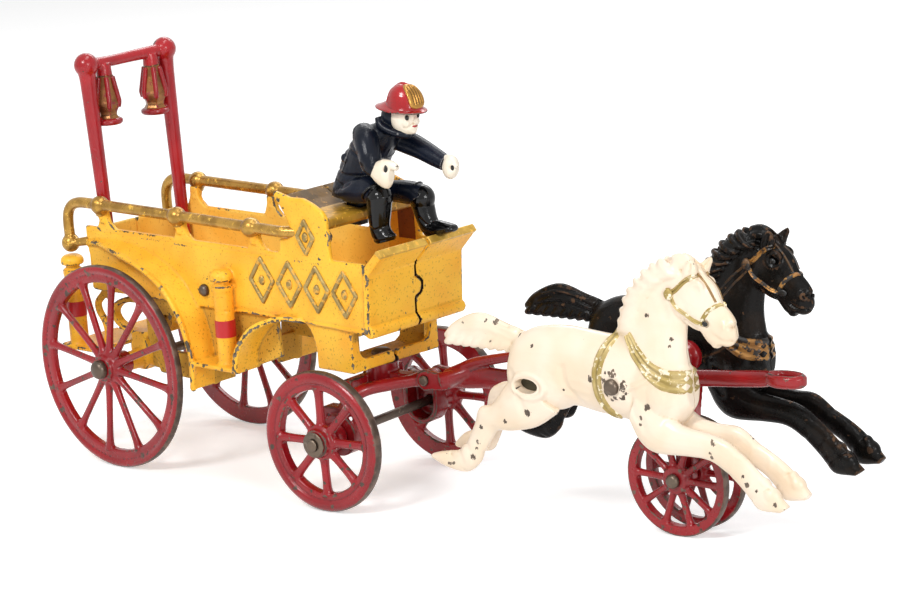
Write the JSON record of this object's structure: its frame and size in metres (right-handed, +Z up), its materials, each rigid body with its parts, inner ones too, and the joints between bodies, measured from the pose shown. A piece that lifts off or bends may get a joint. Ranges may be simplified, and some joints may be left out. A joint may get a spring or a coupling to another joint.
{
  "type": "toy horse-drawn hose wagon",
  "caption": "Cast iron toy fire hose wagon with spoked wheels, side rails and lamp arch, a seated driver and a team of galloping horses on a steering pole",
  "frame": {"origin": "bottom centre of the whole toy's bounding box, on the surface it stands on", "axes": "+X forward along the wagon body towards the horses, +Y to the wagon's left, +Z up"},
  "size_m": [0.3533, 0.0931, 0.1601],
  "materials": {
    "yellow_enamel": "aged gloss enamel over sand-cast grey iron, worn at the edges",
    "red_enamel": "aged gloss enamel over sand-cast grey iron, worn to metal on treads",
    "white_enamel": "cream gloss enamel over cast iron with small chips",
    "black_enamel": "black japan over cast iron, rubbed brown on high spots",
    "navy_black_enamel": "glossy blue-black enamel over cast iron",
    "dark_steel": "dull oxidised steel wire and peened ends"
  },
  "bodies": {
    "wagon": {"body_right": "yellow_enamel", "body_left": "yellow_enamel", "body_rivet": "dark_steel", "lamp_arch": "red_enamel", "rear_axle": "dark_steel", "king_pin": "dark_steel"},
    "driver": {"driver": "navy_black_enamel"},
    "rear_wheel_right": {"rear_wheel_right": "red_enamel"},
    "rear_wheel_left": {"rear_wheel_left": "red_enamel"},
    "truck": {"front_truck": "red_enamel", "front_axle": "dark_steel", "front_washer_right": "dark_steel", "front_washer_left": "dark_steel"},
    "front_wheel_right": {"front_wheel_right": "red_enamel"},
    "front_wheel_left": {"front_wheel_left": "red_enamel"},
    "team": {"pole": "red_enamel", "pole_pin": "dark_steel", "pole_axle": "dark_steel", "white_horse_right": "white_enamel", "white_horse_left": "white_enamel", "white_horse_rivet": "dark_steel", "black_horse_right": "black_enamel", "black_horse_left": "black_enamel", "black_horse_rivet": "dark_steel"},
    "pole_wheel_right": {"pole_wheel_right": "red_enamel"},
    "pole_wheel_left": {"pole_wheel_left": "red_enamel"}
  },
  "joints": [
    {"name": "rear_wheel_right_spin", "type": "hinge", "parent": "wagon", "child": "rear_wheel_right", "pos_m": [-0.1365, -0.0022, 0.0402], "axis": [0, 1, 0], "continuous": true},
    {"name": "rear_wheel_left_spin", "type": "hinge", "parent": "wagon", "child": "rear_wheel_left", "pos_m": [-0.1365, -0.0022, 0.0402], "axis": [0, 1, 0], "continuous": true},
    {"name": "truck_steer", "type": "hinge", "parent": "wagon", "child": "truck", "pos_m": [-0.023, -0.0022, 0.0447], "axis": [0, 0, 1], "range_deg": [-25, 15]},
    {"name": "front_wheel_right_spin", "type": "hinge", "parent": "truck", "child": "front_wheel_right", "pos_m": [-0.023, -0.0022, 0.0265], "axis": [-0.0924, 0.9957, 0], "continuous": true},
    {"name": "front_wheel_left_spin", "type": "hinge", "parent": "truck", "child": "front_wheel_left", "pos_m": [-0.023, -0.0022, 0.0265], "axis": [-0.0924, 0.9957, 0], "continuous": true},
    {"name": "pole_lift", "type": "hinge", "parent": "truck", "child": "team", "pos_m": [0.0007, 0, 0.0442], "axis": [0.0924, -0.9957, 0], "range_deg": [-6, 25]},
    {"name": "pole_wheel_right_spin", "type": "hinge", "parent": "team", "child": "pole_wheel_right", "pos_m": [0.11172, 0.0103, 0.0206], "axis": [-0.0924, 0.9957, 0], "continuous": true},
    {"name": "pole_wheel_left_spin", "type": "hinge", "parent": "team", "child": "pole_wheel_left", "pos_m": [0.11172, 0.0103, 0.0206], "axis": [-0.0924, 0.9957, 0], "continuous": true},
    {"name": "driver_lift_off", "type": "slide", "parent": "wagon", "child": "driver", "axis": [0, 0, 1], "range_m": [0, 0.03]}
  ]
}
